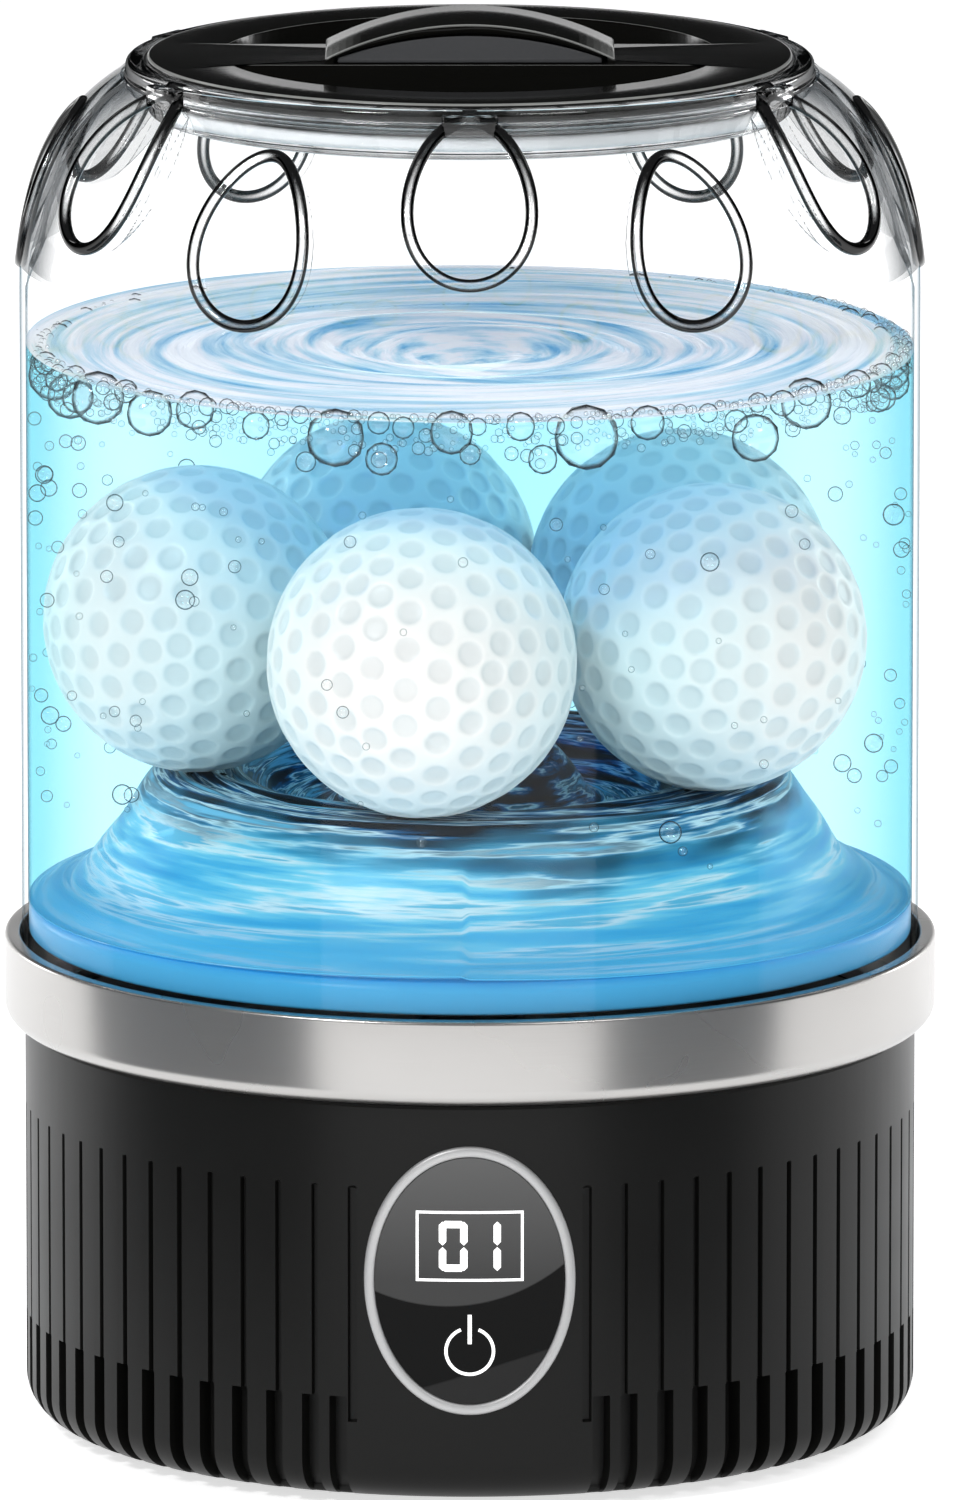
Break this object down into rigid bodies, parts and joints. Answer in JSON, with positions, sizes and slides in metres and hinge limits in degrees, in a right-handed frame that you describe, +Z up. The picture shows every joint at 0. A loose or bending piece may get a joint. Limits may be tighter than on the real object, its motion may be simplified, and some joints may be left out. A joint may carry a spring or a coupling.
{
  "type": "golf ball washer",
  "caption": "Round rechargeable golf ball washer: black base with a control panel, silver ring, clear domed cup with an agitator and balls, black lid with a grip.",
  "frame": {"origin": "centre of the footprint, on the surface that the feet stand on", "axes": "+Z up along the axis of the cup, -Y towards the control panel, +X to the right seen from the panel"},
  "size_m": [0.13, 0.13, 0.1985],
  "materials": {
    "base_shell": "moulded satin black",
    "rubber_foot": "matte",
    "screw_steel": "plated",
    "trim_ring": "satin with polished edges",
    "deck": "moulded satin black",
    "black_seal": "matte",
    "motor_steel": "drawn and plated",
    "battery_wrap": "shrink wrap",
    "cradle": "moulded",
    "circuit_board": "solder mask",
    "panel_bezel": "satin",
    "panel_lens": "polished",
    "display": "black with white segments",
    "touch_pad": "conductive foam",
    "clear_cup": "clear moulded plastic, polished",
    "grey_seal": "silicone",
    "bronze_bush": "sintered",
    "agitator": "moulded",
    "scrub_silicone": "soft silicone",
    "golf_ball": "dimpled, painted white",
    "lid_black": "smooth black",
    "grip_insert": "smooth black"
  },
  "bodies": {
    "base": {"base_shell": "base_shell", "base_floor": "base_shell", "foot_1": "rubber_foot", "foot_2": "rubber_foot", "foot_3": "rubber_foot", "foot_4": "rubber_foot", "floor_screw_1": "screw_steel", "floor_screw_2": "screw_steel", "floor_screw_3": "screw_steel", "floor_screw_4": "screw_steel", "trim_ring": "trim_ring", "splash_deck": "deck", "deck_seal": "black_seal", "motor_can": "motor_steel", "motor_bracket": "motor_steel", "motor_bolt_1": "screw_steel", "motor_bolt_2": "screw_steel", "bracket_screw_1": "screw_steel", "bracket_screw_2": "screw_steel", "bracket_screw_3": "screw_steel", "battery_cell_left": "battery_wrap", "battery_cradle_left": "cradle", "battery_cell_right": "battery_wrap", "battery_cradle_right": "cradle", "main_board": "circuit_board", "charging_socket": "motor_steel", "panel_bezel": "panel_bezel", "panel_lens": "panel_lens", "panel_board": "circuit_board", "display_module": "display", "touch_pad": "touch_pad"},
    "motor_rotor": {"motor_shaft": "motor_steel", "drive_dog": "cradle"},
    "charging_flap": {"port_flap": "black_seal"},
    "cup": {"cup_shell": "clear_cup", "cup_floor": "clear_cup", "floor_seal": "grey_seal", "bearing_bush": "bronze_bush", "shaft_seal": "black_seal"},
    "agitator": {"drive_shaft": "motor_steel", "driven_dog": "cradle", "impeller": "agitator", "scrub_pad": "scrub_silicone", "agitator_cap": "agitator"},
    "ball_ring": {"ball_1": "golf_ball", "ball_2": "golf_ball", "ball_3": "golf_ball", "ball_4": "golf_ball", "ball_5": "golf_ball"},
    "lid_ring": {"lid_seal": "grey_seal"},
    "lid": {"lid_plate": "lid_black", "lid_plug": "clear_cup", "lid_grip": "lid_black", "grip_insert": "grip_insert"}
  },
  "joints": [
    {"name": "motor_spin", "type": "hinge", "parent": "base", "child": "motor_rotor", "pos_m": [0, 0, 0.048], "axis": [0, 0, 1], "continuous": true},
    {"name": "flap_swing", "type": "hinge", "parent": "base", "child": "charging_flap", "pos_m": [0, 0.0617, 0.0312], "axis": [1, 0, 0], "range_deg": [0, 100]},
    {"name": "cup_lift", "type": "slide", "parent": "base", "child": "cup", "axis": [0, 0, 1], "range_m": [0, 0.06]},
    {"name": "agitator_spin", "type": "hinge", "parent": "cup", "child": "agitator", "pos_m": [0, 0, 0.078], "axis": [0, 0, 1], "continuous": true},
    {"name": "balls_circle", "type": "hinge", "parent": "cup", "child": "ball_ring", "pos_m": [0, 0, 0.1141], "axis": [0, 0, 1], "continuous": true},
    {"name": "lid_lift", "type": "slide", "parent": "cup", "child": "lid_ring", "axis": [0, 0, 1], "range_m": [0, 0.07]},
    {"name": "lid_turn", "type": "hinge", "parent": "lid_ring", "child": "lid", "pos_m": [0, 0, 0.188], "axis": [0, 0, 1], "range_deg": [0, 60]}
  ],
  "couplings": [
    {"joint": "agitator_spin", "follows": "motor_spin", "ratio": 1}
  ]
}
